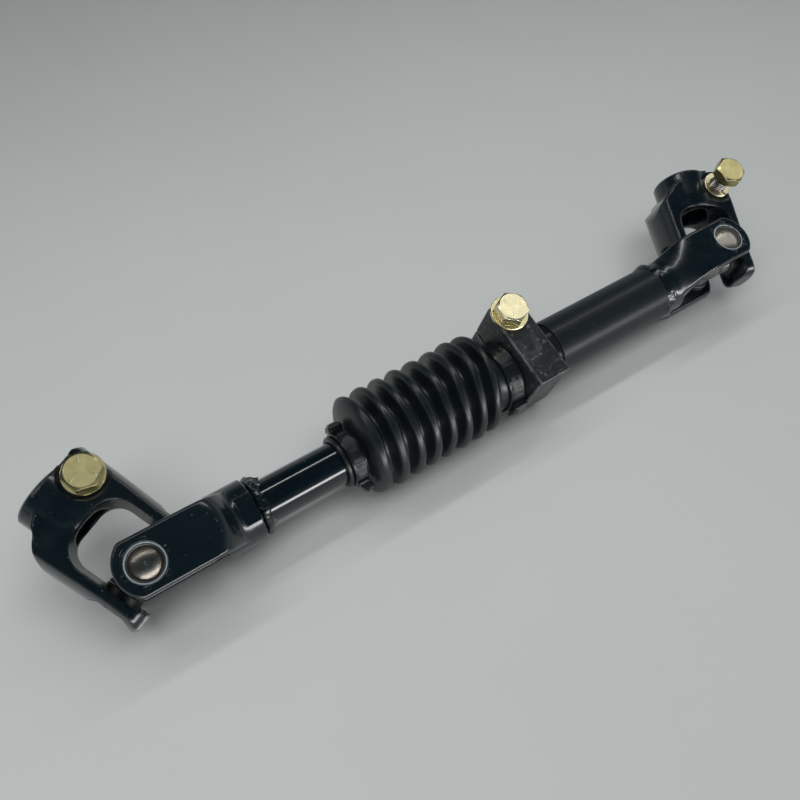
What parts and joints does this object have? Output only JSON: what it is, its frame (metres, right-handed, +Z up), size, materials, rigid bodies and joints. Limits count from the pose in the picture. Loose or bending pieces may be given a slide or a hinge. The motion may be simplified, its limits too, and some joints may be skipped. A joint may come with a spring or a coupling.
{
  "type": "universal joint shaft",
  "caption": "Telescopic shaft with a universal joint and a serrated clamp yoke at each end, a bellows boot over the sliding splines and a bolted clamp collar.",
  "frame": {"origin": "middle of the lower clamp yoke's bore, on the bore's axis", "axes": "+X along the shaft from the lower joint to the upper joint, +Z up, away from the surface the part rests over, +Y sideways, toward the side both clamp yokes are folded to at rest"},
  "size_m": [0.3649, 0.0709, 0.0609],
  "materials": {
    "black_paint": "gloss black paint on forged steel, lightly dusty",
    "satin_tube": "satin black coating on drawn tube",
    "satin_block": "satin black, worn to grey at its edges",
    "weld_bead": "painted weld bead, rippled",
    "forged_steel": "dark greased steel, ground at the pins",
    "cup_steel": "turned steel with a brownish dome",
    "bearing_steel": "ground and polished",
    "yellow_zinc": "pale yellow zinc plate",
    "boot_rubber": "satin moulded rubber",
    "seal_rubber": "matte moulded rubber",
    "black_nylon": "satin moulded nylon"
  },
  "bodies": {
    "tube_body": {"outer_tube": "satin_tube", "upper_shaft_yoke": "black_paint", "upper_shaft_weld": "weld_bead", "upper_shaft_cups": "cup_steel", "clamp_collar": "satin_block", "clamp_bolt": "yellow_zinc", "clamp_washer": "yellow_zinc", "bellows_boot": "boot_rubber", "large_cable_tie": "black_nylon"},
    "shaft_body": {"inner_shaft": "black_paint", "lower_shaft_yoke": "black_paint", "lower_shaft_weld": "weld_bead", "lower_shaft_cups": "cup_steel", "small_cable_tie": "black_nylon"},
    "lower_cross_body": {"lower_cross": "forged_steel", "lower_needle_rollers": "bearing_steel", "lower_trunnion_seals": "seal_rubber"},
    "lower_yoke_body": {"lower_clamp_yoke": "black_paint", "lower_clamp_cups": "cup_steel", "lower_pinch_bolt": "yellow_zinc", "lower_pinch_washer": "yellow_zinc"},
    "upper_cross_body": {"upper_cross": "forged_steel", "upper_needle_rollers": "bearing_steel", "upper_trunnion_seals": "seal_rubber"},
    "upper_yoke_body": {"upper_clamp_yoke": "black_paint", "upper_clamp_cups": "cup_steel", "upper_pinch_bolt": "yellow_zinc", "upper_lock_washer": "yellow_zinc"}
  },
  "joints": [
    {"name": "telescope", "type": "slide", "parent": "tube_body", "child": "shaft_body", "axis": [1, 0, 0], "range_m": [-0.015, 0.025], "deforming": ["bellows_boot"]},
    {"name": "lower_fold", "type": "hinge", "parent": "shaft_body", "child": "lower_cross_body", "pos_m": [0.01444, -0.02822, -0.01361], "axis": [0, -0.4939, 0.8695], "range_deg": [-4.8, 135.2]},
    {"name": "lower_lean", "type": "hinge", "parent": "lower_cross_body", "child": "lower_yoke_body", "pos_m": [0.01444, -0.02822, -0.01361], "axis": [-0.9078, -0.3647, -0.2072], "range_deg": [-28.5, 21.5]},
    {"name": "upper_fold", "type": "hinge", "parent": "tube_body", "child": "upper_cross_body", "pos_m": [0.31294, -0.02822, -0.01361], "axis": [0, -0.2974, 0.9548], "range_deg": [-139.3, 0.7]},
    {"name": "upper_lean", "type": "hinge", "parent": "upper_cross_body", "child": "upper_yoke_body", "pos_m": [0.31294, -0.02822, -0.01361], "axis": [-0.9354, 0.3375, 0.1051], "range_deg": [-19, 31]}
  ]
}
